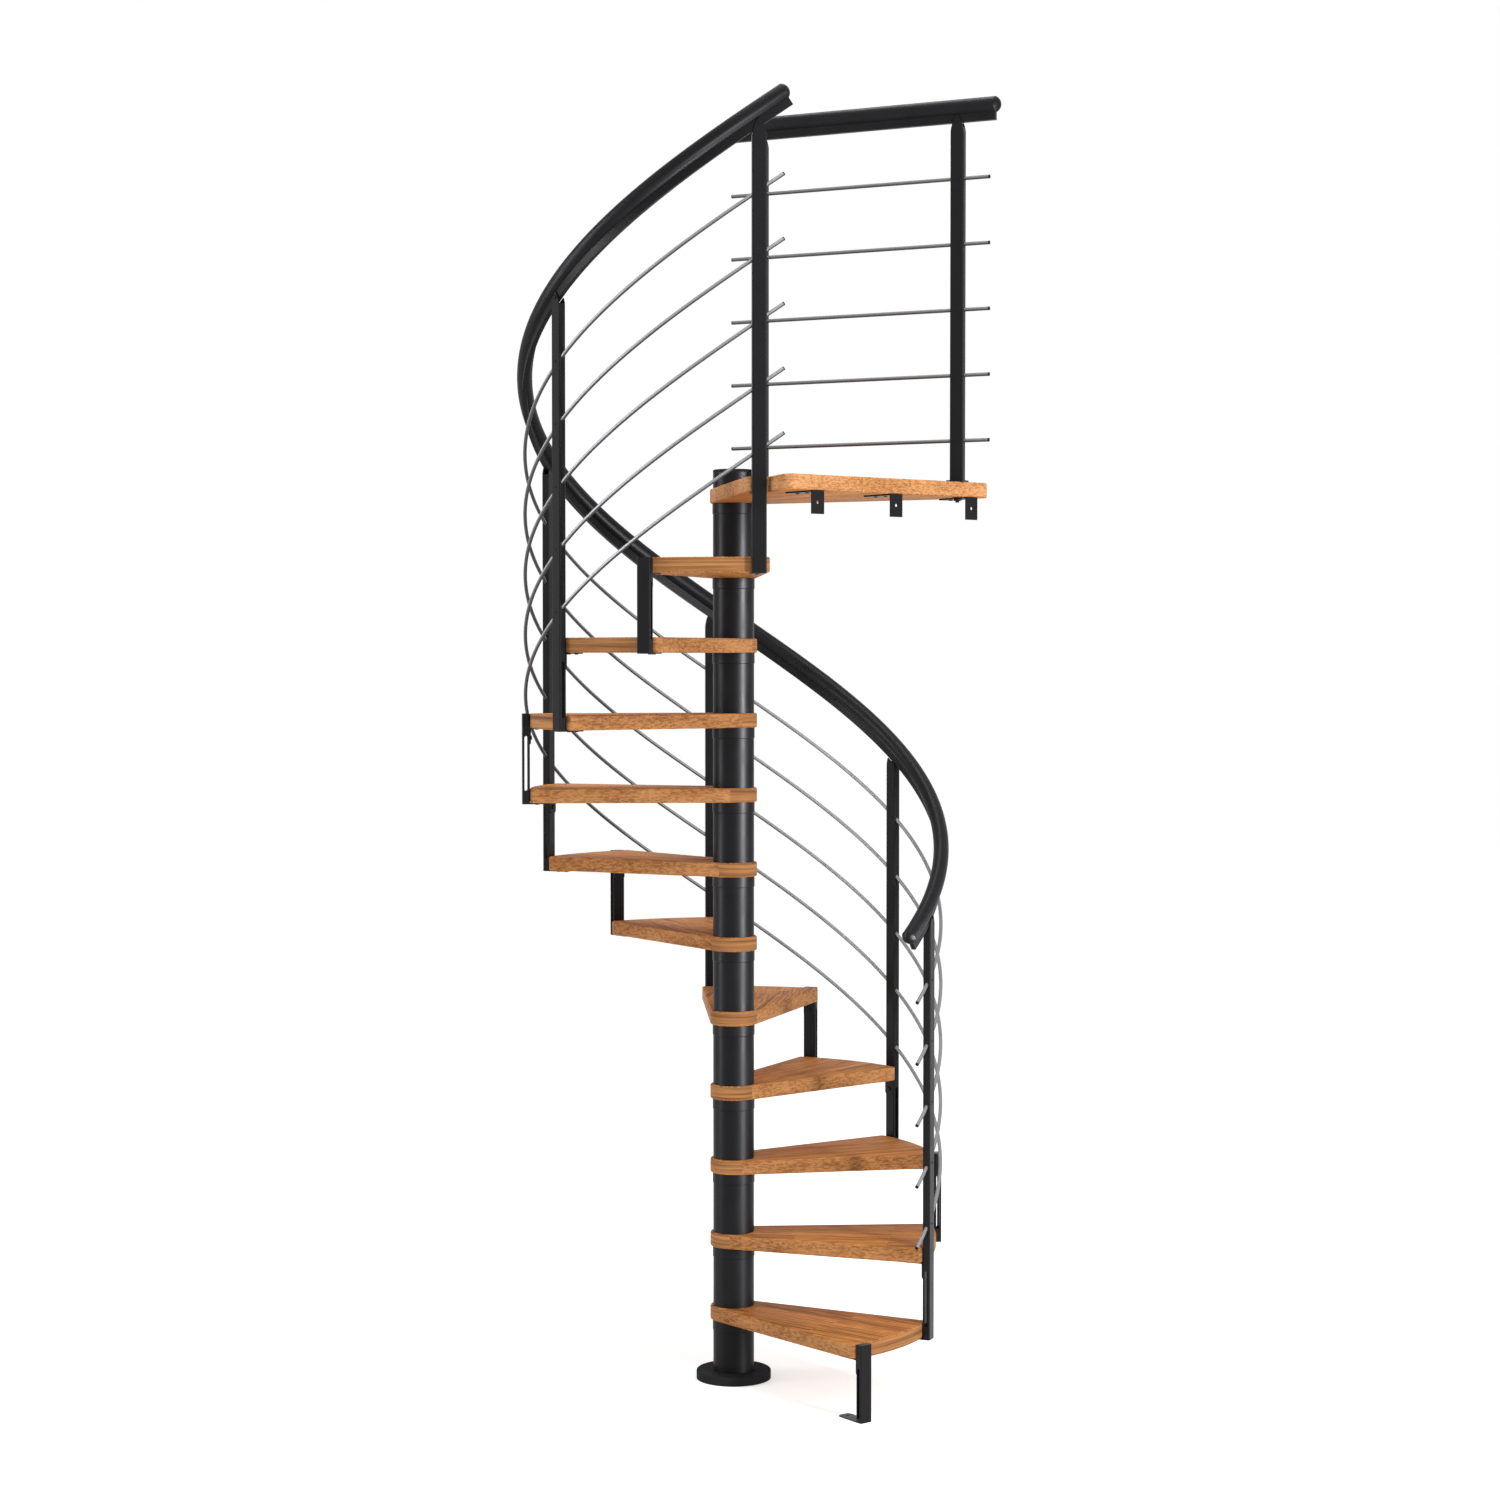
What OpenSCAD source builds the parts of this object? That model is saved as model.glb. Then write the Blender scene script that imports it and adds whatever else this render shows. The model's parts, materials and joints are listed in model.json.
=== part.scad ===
// Spiral staircase kit: oak treads clamped on a steel column, slotted steel posts, helical handrail.
// The origin is the centre of the base flange on the floor. The stair climbs counter-clockwise
// seen from above, and the straight edge of the landing faces -Y.

/* [Steps] */
// Height from one tread to the next
rise = 206.5; // [190:0.5:225]
// Turn from one tread to the next, in degrees
step_angle = 30; // [28:0.5:31]
// Thickness of treads and landing
tread_t = 40; // [34:1:46]
// How far a tread reaches along its arc past the middle of a post
tread_lap = 30; // [24:1:34]
// Rounding of the outer corners of a tread, seen from above
tread_corner_r = 10; // [5:1:16]
// Diameter of the wooden hub around the column
hub_d = 130; // [122:1:140]

/* [Column] */
// Outer diameter of the spacer tubes
column_d = 114; // [105:1:118]
// Wall of the spacer tubes
column_wall = 4; // [3:0.5:6]
// Extra radius of the collar at the top of each spacer tube
collar_step = 1.5; // [0.5:0.5:3]
// Height of that collar
collar_h = 30; // [20:1:50]
// Outer diameter of the spindle inside the column
spindle_d = 60; // [45:1:80]
// Wall of the spindle
spindle_wall = 5; // [3:0.5:8]
// Gap between the spindle and the bores of the treads
spindle_clear = 0.5; // [0.2:0.1:1]
// Height of the column above the landing
column_above = 53; // [40:1:80]
// Thickness of the cap on the column
cap_t = 8; // [5:1:14]
// Chamfer around the cap and the base flange
rim_chamfer = 2; // [1:0.5:4]

/* [Base flange] */
// Diameter of the base flange
flange_d = 208; // [180:2:260]
// Thickness of the base flange
flange_t = 24; // [16:1:32]

/* [Posts and brackets] */
// Distance from the axis to the outer face of the posts
post_reach = 586; // [560:0.5:620]
// Width of a post, along the handrail
post_w = 38; // [32:1:44]
// Depth of a post, across the handrail
post_d = 21; // [20:0.5:26]
// Wall of the post tube
post_wall = 3; // [2:0.5:3]
// Rounding of the long edges of a post
post_round = 4; // [3.5:0.5:6]
// Gap between a post and the arc of a tread
post_gap = 1; // [0.5:0.5:3]
// Thickness of the plates under the treads
plate_t = 3; // [2:0.5:5]
// How far those plates reach under a tread
plate_reach = 58; // [45:1:70]
// Rounding of the inner corners of those plates
plate_corner_r = 9; // [4:1:12]
// How far the foot of the first bracket reaches along the floor
foot_reach = 76; // [60:1:90]
// Screw hole in the foot of the first bracket
foot_hole_d = 8; // [6:0.5:10]
// Width of the slots in the sides of posts and brackets
slot_w = 9; // [6:0.5:10]
// How far a slot runs below the top of the lower tread
slot_below = 7; // [2:1:12]
// How far a slot ends below the underside of the upper tread
slot_margin = 22; // [15:1:40]
// Length of the vertical leg of the angle plates
angle_leg = 44; // [30:1:60]
// Width of the angle plates
angle_w = 34; // [24:1:36]
// Rounding of the lower corners of the angle plates
angle_round = 9; // [4:1:12]
// Height of the pointed arch at the top of a long post
post_arch_h = 50; // [35:1:60]
// Gap between the top of a post and the handrail on it
tab_clear = 0.3; // [0.2:0.1:0.8]

/* [Spiral handrail] */
// Height of the middle of the handrail above the upper tread at each post
rail_h = 938; // [850:1:1050]
// Diameter of the handrail
rail_d = 42; // [38:1:48]
// Width of the keel under the handrail
keel_w = 14; // [10:1:16]
// Depth of the keel below the round part
keel_h = 20; // [14:1:26]
// How far the handrail runs past the first post, in degrees
rail_before = 12.3; // [8:0.1:16]
// How far the handrail runs past the last post, in degrees
rail_after = 6.4; // [4:0.1:8]
// Length of the domed end caps past the end of the handrail
dome_l = 14; // [8:1:20]

/* [Rods] */
// Diameter of the rods
rod_d = 10; // [8:0.5:11]
// Height of the lowest spiral rod above the upper tread at each post
rod_first = 66.5; // [50:0.5:80]
// Height from one spiral rod to the next
rod_pitch = 165.5; // [150:0.5:180]
// How far the rods run past the first post, in degrees
rod_before = 7.9; // [5:0.1:10]
// How far the rods run past the last post, in degrees
rod_after = 6.4; // [4:0.1:8]
// Gap around a rod in its holes
rod_clear = 0.7; // [0.4:0.1:1.2]

/* [Landing] */
// Distance from the axis to the straight outer edge of the landing
landing_reach = 630; // [600:1:720]
// Sideways place of the outer corner beside the last post
landing_near = 303; // [295:1:340]
// Turn of the far edge of the landing away from its middle line, in degrees
landing_far_turn = 27.5; // [22:0.5:32]
// Rounding of the outer corners of the landing
landing_corner_r = 22; // [10:1:30]
// Gap along the arc between the last post and the step in the landing's edge
landing_step_gap = 8; // [4:1:14]

/* [Landing railing] */
// Distance from the far edge of the landing to the middle of its railing
railing_inset = 81; // [70:1:90]
// Distance from the column's axis to the inner landing post, along the railing
railing_inner = 93; // [90:1:120]
// Distance from the outer landing post to the landing's straight edge, along the railing
railing_end = 32; // [30:1:80]
// How far the railing's rods run past its posts
rod_overhang = 89; // [60:1:110]
// How far the railing's handrail runs past its posts
railing_overhang = 106; // [70:1:130]
// Height of the middle of the railing's handrail above the landing
railing_h = 990; // [900:1:1050]
// Height of the lowest landing rod above the landing
landing_rod_first = 110; // [90:1:130]
// Height from one landing rod to the next
landing_rod_pitch = 173; // [150:1:185]
// Width of the foot plate of a landing post, along and across the railing
post_foot_w = 46; // [42:1:56]
// Thickness of that foot plate
post_foot_t = 5; // [3:0.5:8]

/* [Landing brackets] */
// Width of the brackets under the outer edge of the landing
edge_bracket_w = 40; // [30:1:50]
// Thickness of those brackets
edge_bracket_t = 4; // [3:0.5:6]
// Height of their vertical leg
edge_bracket_leg = 60; // [50:1:90]
// Length of their horizontal leg
edge_bracket_reach = 110; // [80:1:130]
// Screw hole in the vertical leg
edge_hole_d = 9; // [6:0.5:12]
// Distance from the near end of the landing's edge to the first bracket
bracket_near_inset = 104; // [70:1:130]
// Distance from the far end of the landing's edge to the last bracket
bracket_far_inset = 80; // [60:1:120]

/* [Hidden] */

$fn = 64;
// Overshoot of a cut past the face it opens
cut = 1;
// Treads below the landing, and the place of the last post
tread_count = 11;
// Rods in each railing
rod_count = 5;
// Straight steps in a rounded corner, and in the arcs of a tread
corner_steps = 6;
arc_steps = 24;
// Colours
oak = [0.76, 0.53, 0.31];
black_steel = [0.15, 0.15, 0.16];
stainless = [0.72, 0.72, 0.72];

// Directions and heights that follow from the sizes above
start_angle = -90;
landing_angle = start_angle + 12 * step_angle;
landing_top = (tread_count + 1) * rise;
hub_r = hub_d / 2;
post_r = post_reach - post_d / 2;
tread_r = post_reach - post_d - post_gap;
tread_half = step_angle / 2 + tread_lap / tread_r * 180 / PI;
// Turn of a tread's straight edges away from its middle line
edge_turn = tread_half - asin(hub_r / tread_r);
rail_r = post_reach - post_wall - tab_clear - keel_w / 2;
rail_slope = atan(rise / (rail_r * step_angle * PI / 180));
rod_slope = atan(rise / (post_r * step_angle * PI / 180));
// Depth of the keel's underside below the middle of the handrail
keel_drop = rail_d / 2 + keel_h;

function post_angle(k) = start_angle + k * step_angle;
function tread_angle(k) = post_angle(k) - step_angle / 2;
function tread_top(k) = k * rise;
function polar(r, a) = [r * cos(a), r * sin(a)];
function turned(p, a) = [p[0] * cos(a) - p[1] * sin(a), p[0] * sin(a) + p[1] * cos(a)];
// Points first to last of an arc in n steps
function arc(centre, r, from, to, n, first = 0, last = undef) = [
    for (i = [first:is_undef(last) ? n : last]) centre + polar(r, from + (to - from) * i / n)
];
// Rounds the corner p of a counter-clockwise outline that comes in along a and goes out along b
function round_corner(p, a, b, r) =
    arc(p + polar(r / cos((b - a) / 2), (a + b) / 2 + 90), r, a - 90, b - 90, corner_steps);
// Height of a helix that stands h above the upper tread at each post
function helix_z(a, h) = (a - post_angle(0)) / step_angle * rise + rise + h;

// Turned shapes

module disc_with_rim(d, t) {
    r = d / 2;
    rotate_extrude()
        polygon([[0, 0], [r, 0], [r, t - rim_chamfer], [r - rim_chamfer, t], [0, t]]);
}

module ring(d, wall, h) {
    difference() {
        cylinder(d = d, h = h);
        translate([0, 0, -cut]) cylinder(d = d - 2 * wall, h = h + 2 * cut);
    }
}

// A spacer tube of the column with a collar at its top
module spacer_tube(h) {
    r = column_d / 2;
    rotate_extrude()
        polygon([
            [r - column_wall, 0], [r, 0], [r, h - collar_h], [r + collar_step, h - collar_h + collar_step],
            [r + collar_step, h], [r - column_wall, h]
        ]);
}

module base_flange() {
    color(black_steel) disc_with_rim(flange_d, flange_t);
}

module spindle() {
    color(black_steel) translate([0, 0, flange_t])
        ring(spindle_d, spindle_wall, landing_top + column_above - cap_t - flange_t);
}

module column_tubes() {
    color(black_steel) {
        translate([0, 0, flange_t]) spacer_tube(rise - tread_t - flange_t);
        for (k = [1:tread_count])
            translate([0, 0, tread_top(k)]) spacer_tube(rise - tread_t);
        translate([0, 0, landing_top]) ring(column_d, column_wall, column_above - cap_t);
    }
}

module column_cap() {
    color(black_steel) translate([0, 0, landing_top + column_above - cap_t])
        disc_with_rim(column_d, cap_t);
}

// Treads

// Middle of the rounded outer corner of a tread on the +Y side, and its direction from the axis
corner_middle = turned(
    [sqrt(pow(tread_r - tread_corner_r, 2) - pow(hub_r - tread_corner_r, 2)), hub_r - tread_corner_r],
    edge_turn
);
corner_angle = atan2(corner_middle[1], corner_middle[0]);
// Rounded outer corner on the -Y side, from the straight edge to the arc
leading_corner = arc(
    [corner_middle[0], -corner_middle[1]], tread_corner_r, -90 - edge_turn, -corner_angle, corner_steps,
    last = corner_steps - 1
);
bore_d = spindle_d + 2 * spindle_clear;

// Outline of a tread along +X: a hub, two edges that leave it as tangents, and an outer arc
module tread_outline() {
    difference() {
        polygon(concat(
            leading_corner,
            arc([0, 0], tread_r, -corner_angle, corner_angle, arc_steps),
            arc(corner_middle, tread_corner_r, corner_angle, 90 + edge_turn, corner_steps, first = 1),
            arc([0, 0], hub_r, 90 + edge_turn, 270 - edge_turn, arc_steps)
        ));
        circle(d = bore_d);
    }
}

module tread(k) {
    color(oak) rotate(tread_angle(k)) translate([0, 0, tread_top(k) - tread_t])
        linear_extrude(tread_t) tread_outline();
}

// Landing

// Corners of the landing's outline, with +X outward and the last post on the -Y side
landing_step = -step_angle + (post_w / 2 + landing_step_gap) / tread_r * 180 / PI;
near_corner = [landing_reach, -landing_near];
far_corner = [
    landing_reach,
    hub_r / cos(landing_far_turn) + landing_reach * tan(landing_far_turn)
];

// The landing starts as a tread, steps out past the last post and ends in a straight edge
module landing_outline() {
    tread_turn = -step_angle / 2;
    step_in = polar(tread_r, landing_step);
    near_turn = atan2(near_corner[1] - step_in[1], near_corner[0] - step_in[0]);
    difference() {
        polygon(concat(
            [for (p = leading_corner) turned(p, tread_turn)],
            arc([0, 0], tread_r, tread_turn - corner_angle, landing_step, corner_steps),
            round_corner(near_corner, near_turn, 90, landing_corner_r),
            round_corner(far_corner, 90, 180 + landing_far_turn, landing_corner_r),
            arc([0, 0], hub_r, 90 + landing_far_turn, 270 - edge_turn + tread_turn, arc_steps)
        ));
        circle(d = bore_d);
    }
}

module landing() {
    color(oak) rotate(landing_angle) translate([0, 0, landing_top - tread_t])
        linear_extrude(tread_t) landing_outline();
}

// Posts and brackets, with the outer face toward +X and the middle of the tube at the origin

module rounded_rectangle(x, y, r) {
    square([x - 2 * r, y], center = true);
    square([x, y - 2 * r], center = true);
    for (sx = [-1, 1], sy = [-1, 1])
        translate([sx * (x / 2 - r), sy * (y / 2 - r)]) circle(r);
}

module post_tube(h) {
    linear_extrude(h) difference() {
        rounded_rectangle(post_d, post_w, post_round);
        rounded_rectangle(post_d - 2 * post_wall, post_w - 2 * post_wall, post_round - post_wall);
    }
}

// Long window through both narrow sides, with round ends
module side_slot(z0, z1) {
    rotate([90, 0, 0]) linear_extrude(post_w + 2 * cut, center = true) {
        translate([-slot_w / 2, z0 + slot_w / 2]) square([slot_w, z1 - z0 - slot_w]);
        translate([0, z0 + slot_w / 2]) circle(d = slot_w);
        translate([0, z1 - slot_w / 2]) circle(d = slot_w);
    }
}

// Bent plate at the bottom of a post, reaching inward under the lower tread
module base_plate(reach) {
    inner = -post_d / 2 - reach;
    linear_extrude(plate_t) polygon(concat(
        [[post_d / 2 - post_round, post_w / 2]],
        round_corner([inner, post_w / 2], 180, 270, plate_corner_r),
        round_corner([inner, -post_w / 2], 270, 360, plate_corner_r),
        [[post_d / 2 - post_round, -post_w / 2]]
    ));
}

// A short bracket from the lower tread's underside, or the floor, to the upper tread's top
module bracket_body(h, slot_from, reach) {
    slot_to = h - tread_t - slot_margin;
    difference() {
        union() {
            post_tube(h);
            linear_extrude(plate_t) rounded_rectangle(post_d, post_w, post_round);
            translate([0, 0, h - plate_t]) linear_extrude(plate_t)
                rounded_rectangle(post_d, post_w, post_round);
            base_plate(reach);
        }
        side_slot(slot_from, slot_to);
    }
}

// Outline of a post seen from outside: wider than the tube up to the arch, then a pointed arch with a soft tip
module arch_outline(top) {
    arch_steps = 16;
    // 4/3 gives a fuller shoulder than a straight taper and a slimmer one than an ellipse
    power = 4 / 3;
    arch = [
        for (i = [0:arch_steps]) let (a = 180 * i / arch_steps)
            [sign(cos(a)) * post_w / 2 * pow(abs(cos(a)), power), top - post_arch_h * (1 - pow(sin(a), power))]
    ];
    polygon(concat([[-post_w, -cut], [post_w, -cut], [post_w, top - post_arch_h]],
        arch, [[-post_w, top - post_arch_h]]));
}

// A long post: the tube ends under the keel, and its outer wall goes on beside the keel to the tip of its arch
module post_body(rail_z, slope) {
    top = rail_z - rail_d / 2 / cos(slope) - tab_clear;
    keel_z = rail_z - keel_drop / cos(slope) - tab_clear;
    wall_x = post_d / 2 - post_wall;
    difference() {
        intersection() {
            post_tube(top);
            rotate([90, 0, 90]) linear_extrude(2 * post_d, center = true) arch_outline(top);
        }
        translate([wall_x - 2 * post_d, 0, keel_z]) rotate([slope, 0, 0])
            translate([0, -2 * post_w, 0]) cube([2 * post_d, 4 * post_w, 4 * post_w]);
    }
}

// Holes for the rods through the narrow sides
module rod_holes(first, pitch, slope) {
    for (i = [0:rod_count - 1])
        translate([0, 0, first + i * pitch]) rotate([90 + slope, 0, 0])
            cylinder(d = rod_d + 2 * rod_clear, h = 4 * post_w, center = true);
}

function bracket_base(k) = k == 0 ? 0 : tread_top(k) - tread_t - plate_t;

module place_at_post(k) {
    rotate(post_angle(k)) translate([post_r, 0, bracket_base(k)]) children();
}

module floor_bracket() {
    color(black_steel) place_at_post(0) difference() {
        bracket_body(rise, plate_t + slot_below, foot_reach);
        translate([-post_d / 2 - foot_reach + post_w / 2, 0, -cut]) cylinder(d = foot_hole_d, h = plate_t + 2 * cut);
    }
}

module step_bracket(k) {
    color(black_steel) place_at_post(k)
        bracket_body(rise + tread_t + plate_t, tread_t + plate_t - slot_below, plate_reach);
}

module post(k) {
    // Heights above the underside of the post
    below = tread_t + plate_t;
    color(black_steel) place_at_post(k) difference() {
        union() {
            post_body(below + rise + rail_h, rail_slope);
            linear_extrude(plate_t) rounded_rectangle(post_d, post_w, post_round);
            base_plate(plate_reach);
        }
        side_slot(below - slot_below, rise + plate_t - slot_margin);
        rod_holes(below + rise + rod_first, rod_pitch, rod_slope);
    }
}

// Angle plate under the leading end of a tread: one leg below the wood, one down the post
module angle_plate() {
    translate([0, 0, -plate_t]) linear_extrude(plate_t) polygon(concat(
        [[0, angle_w / 2]],
        round_corner([-plate_reach, angle_w / 2], 180, 270, plate_corner_r),
        round_corner([-plate_reach, -angle_w / 2], 270, 360, plate_corner_r),
        [[0, -angle_w / 2]]
    ));
    rotate([90, 0, -90]) linear_extrude(plate_t) polygon(concat(
        round_corner([-angle_w / 2, -angle_leg], -90, 0, angle_round),
        round_corner([angle_w / 2, -angle_leg], 0, 90, angle_round),
        [[angle_w / 2, 0], [-angle_w / 2, 0]]
    ));
}

module tread_angles() {
    color(black_steel) for (k = [0:tread_count])
        rotate(post_angle(k)) translate([post_r - post_d / 2, 0, tread_top(k + 1) - tread_t]) angle_plate();
}

// Helical handrail and rods

// Skin of a body swept along a helix: rings of points joined by quads, with flat ends.
// Each ring is an outline in the plane across the helix, x outward and y up.
module helix_sweep(r, from, to, h, steps, outline) {
    n = len(outline);
    slope = atan(rise / (r * step_angle * PI / 180));
    points = [
        for (i = [0:steps], p = outline)
            let (
                a = from + (to - from) * i / steps,
                across = polar(r + p[0], a),
                back = -p[1] * sin(slope),
                along = polar(back, a + 90)
            )
            [across[0] + along[0], across[1] + along[1], helix_z(a, h) + p[1] * cos(slope)]
    ];
    skin = [
        for (i = [0:steps - 1], j = [0:n - 1])
            let (a = i * n + j, b = i * n + (j + 1) % n)
            each [[a, b + n, b], [a, a + n, b + n]]
    ];
    ends = [[for (j = [0:n - 1]) j], [for (j = [0:n - 1]) steps * n + n - 1 - j]];
    polyhedron(points, concat(skin, ends), convexity = 10);
}

// Section of the handrail: a round bar on a flat keel, counter-clockwise
rail_arc_steps = 14;
keel_half_turn = asin(keel_w / rail_d);
rail_section = concat(
    [[-keel_w / 2, -keel_drop], [keel_w / 2, -keel_drop]],
    [for (i = [0:rail_arc_steps])
        polar(rail_d / 2, -90 + keel_half_turn + i * (360 - 2 * keel_half_turn) / rail_arc_steps)]
);
rail_from = post_angle(1) - rail_before;
rail_to = post_angle(tread_count) + rail_after;
rail_steps = 64;

module spiral_handrail() {
    color(black_steel) helix_sweep(rail_r, rail_from, rail_to, rail_h, rail_steps, rail_section);
}

// Domed cap with its flat back on the XY plane
module dome_cap() {
    dome_r = (pow(rail_d / 2, 2) + pow(dome_l, 2)) / (2 * dome_l);
    intersection() {
        translate([0, 0, dome_l - dome_r]) sphere(dome_r);
        cylinder(d = rail_d, h = dome_l);
    }
}

module handrail_caps() {
    color(black_steel) {
        rotate(rail_from) translate([rail_r, 0, helix_z(rail_from, rail_h)])
            rotate([90 + rail_slope, 0, 0]) dome_cap();
        rotate(rail_to) translate([rail_r, 0, helix_z(rail_to, rail_h)])
            rotate([rail_slope - 90, 0, 0]) dome_cap();
        place_railing(railing_inner - railing_overhang) translate([rail_offset, 0, railing_h])
            rotate([90, 0, 0]) dome_cap();
        place_railing(railing_outer + railing_overhang) translate([rail_offset, 0, railing_h])
            rotate([-90, 0, 0]) dome_cap();
    }
}

rod_sides = 8;
rod_steps = 62;
rod_section = [for (j = [0:rod_sides - 1]) polar(rod_d / 2, j * 360 / rod_sides)];

module spiral_rod(i) {
    color(stainless)
        helix_sweep(post_r, post_angle(1) - rod_before, post_angle(tread_count) + rod_after,
            rod_first + (i - 1) * rod_pitch, rod_steps, rod_section);
}

// Landing railing, parallel to the landing's far edge

// Distance from the axis to the outer landing post, along the railing
railing_outer = (landing_reach + (hub_r - railing_inset) * sin(landing_far_turn)) / cos(landing_far_turn)
    - railing_end;
// Shift of the handrail's middle from the middle of the post tubes
rail_offset = rail_r - post_r;

// Puts +X across the railing toward the landing and +Y outward along it, s from the axis
module place_railing(s) {
    rotate(landing_angle + landing_far_turn) translate([s, hub_r - railing_inset, landing_top])
        rotate(-90) children();
}

module landing_post(s) {
    color(black_steel) place_railing(s) difference() {
        union() {
            post_body(railing_h, 0);
            translate([-post_foot_w / 2, -post_foot_w / 2, 0]) cube([post_foot_w, post_foot_w, post_foot_t]);
        }
        rod_holes(landing_rod_first, landing_rod_pitch, 0);
    }
}

module landing_handrail() {
    length = railing_outer - railing_inner + 2 * railing_overhang;
    color(black_steel) place_railing(railing_inner - railing_overhang)
        translate([rail_offset, 0, railing_h]) rotate([-90, 0, 0]) {
            cylinder(d = rail_d, h = length);
            translate([-keel_w / 2, 0, 0]) cube([keel_w, keel_drop, length]);
        }
}

module landing_rods() {
    length = railing_outer - railing_inner + 2 * rod_overhang;
    color(stainless) for (i = [0:rod_count - 1])
        place_railing(railing_inner - rod_overhang) translate([0, 0, landing_rod_first + i * landing_rod_pitch])
            rotate([-90, 0, 0]) cylinder(d = rod_d, h = length);
}

// Angle brackets under the outer edge of the landing, which fasten it to the upper floor
module edge_bracket() {
    difference() {
        union() {
            translate([-edge_bracket_reach, -edge_bracket_w / 2, -edge_bracket_t])
                cube([edge_bracket_reach, edge_bracket_w, edge_bracket_t]);
            translate([-edge_bracket_t, -edge_bracket_w / 2, -edge_bracket_leg])
                cube([edge_bracket_t, edge_bracket_w, edge_bracket_leg]);
        }
        translate([-edge_bracket_t - cut, 0, -edge_bracket_leg / 2]) rotate([0, 90, 0])
            cylinder(d = edge_hole_d, h = edge_bracket_t + 2 * cut);
    }
}

module landing_brackets() {
    first = near_corner[1] + bracket_near_inset;
    last = far_corner[1] - bracket_far_inset;
    color(black_steel) rotate(landing_angle) for (y = [first, (first + last) / 2, last])
        translate([landing_reach, y, landing_top - tread_t]) edge_bracket();
}

base_flange();
spindle();
column_tubes();
column_cap();
tread(1);  // tread_01
tread(2);  // tread_02
tread(3);  // tread_03
tread(4);  // tread_04
tread(5);  // tread_05
tread(6);  // tread_06
tread(7);  // tread_07
tread(8);  // tread_08
tread(9);  // tread_09
tread(10);  // tread_10
tread(11);  // tread_11
landing();
floor_bracket();
step_bracket(2);  // step_bracket_02
step_bracket(4);  // step_bracket_04
step_bracket(6);  // step_bracket_06
step_bracket(8);  // step_bracket_08
step_bracket(10);  // step_bracket_10
post(1);  // post_01
post(3);  // post_03
post(5);  // post_05
post(7);  // post_07
post(9);  // post_09
post(11);  // post_11
tread_angles();
spiral_handrail();
handrail_caps();
spiral_rod(1);  // spiral_rod_1
spiral_rod(2);  // spiral_rod_2
spiral_rod(3);  // spiral_rod_3
spiral_rod(4);  // spiral_rod_4
spiral_rod(5);  // spiral_rod_5
landing_post(railing_inner);  // landing_post_inner
landing_post(railing_outer);  // landing_post_outer
landing_handrail();
landing_rods();
landing_brackets();
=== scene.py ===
"""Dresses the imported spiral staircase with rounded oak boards, a smooth railing, screws and finishes."""
from __future__ import annotations

import json
import logging
import math
from contextlib import contextmanager
from dataclasses import dataclass
from enum import Enum
from typing import Callable, Iterator

import bpy
from mathutils import Matrix, Vector

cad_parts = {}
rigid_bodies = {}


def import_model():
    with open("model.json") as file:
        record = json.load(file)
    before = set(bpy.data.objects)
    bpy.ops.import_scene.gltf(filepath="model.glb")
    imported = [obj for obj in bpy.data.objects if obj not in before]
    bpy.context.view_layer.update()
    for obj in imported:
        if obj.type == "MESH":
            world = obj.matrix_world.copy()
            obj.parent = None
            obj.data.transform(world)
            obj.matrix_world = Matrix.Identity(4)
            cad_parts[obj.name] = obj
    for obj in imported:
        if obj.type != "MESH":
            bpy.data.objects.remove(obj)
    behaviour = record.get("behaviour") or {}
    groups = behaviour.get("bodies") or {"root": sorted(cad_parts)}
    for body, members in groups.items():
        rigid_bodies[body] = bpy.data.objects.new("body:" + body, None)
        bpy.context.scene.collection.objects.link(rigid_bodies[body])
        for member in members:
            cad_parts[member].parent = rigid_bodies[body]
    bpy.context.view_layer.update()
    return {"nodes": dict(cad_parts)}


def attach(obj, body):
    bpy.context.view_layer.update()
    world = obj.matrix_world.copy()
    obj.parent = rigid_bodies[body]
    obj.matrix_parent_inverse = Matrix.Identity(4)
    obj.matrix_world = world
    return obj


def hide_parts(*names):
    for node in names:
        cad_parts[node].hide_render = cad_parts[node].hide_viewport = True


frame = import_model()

BODY = "root"
LOG = logging.getLogger("staircase")

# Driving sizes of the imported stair, in metres and radians
RISE = 0.2065
STEP = math.radians(30.0)
START = math.radians(-90.0)
TREAD_COUNT = 11
TREAD_T = 0.040
HUB_R = 0.065
LANDING_REACH = 0.630
LANDING_NEAR = 0.303
LANDING_FAR_TURN = math.radians(27.5)
LANDING_TOP = (TREAD_COUNT + 1) * RISE
LONG_POSTS = tuple(range(1, TREAD_COUNT + 1, 2))
SHORT_POSTS = tuple(range(2, TREAD_COUNT, 2))
ROD_COUNT = 5

# Values that several pieces and finishes share
DOWN = Vector((0.0, 0.0, -1.0))
WHITE = (1.0, 1.0, 1.0, 1.0)
RIM_SEGMENTS = 2
RIM_DEGREES = 40.0
GLOSSIER_BY = 0.04
DULLER_BY = 0.06

Triple = tuple[float, float, float]
Socket = bpy.types.NodeSocket
Stops = list[tuple[float, "float | Triple"]]


class Slot(Enum):
    """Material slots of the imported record."""

    OAK = "oak"
    STEEL = "black_steel"
    HANDRAIL = "black_handrail"
    STAINLESS = "stainless"


def post_angle(k: int) -> float:
    """Direction of post k from the column's axis, in radians."""
    return START + k * STEP


def tread_angle(k: int) -> float:
    """Direction of the middle line of tread k, in radians."""
    return post_angle(k) - STEP / 2


def helix_z(angle: float, height: float) -> float:
    """Height of a helix that stands a height above the upper tread at each post.

    Args:
        angle: direction from the axis, in radians.
        height: height above the upper tread at a post, in metres.

    Returns:
        The height above the floor, in metres.
    """
    return (angle - START) / STEP * RISE + RISE + height


def polar(radius: float, angle: float, z: float = 0.0) -> Vector:
    """Point at a radius and direction from the axis."""
    return Vector((radius * math.cos(angle), radius * math.sin(angle), z))


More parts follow.
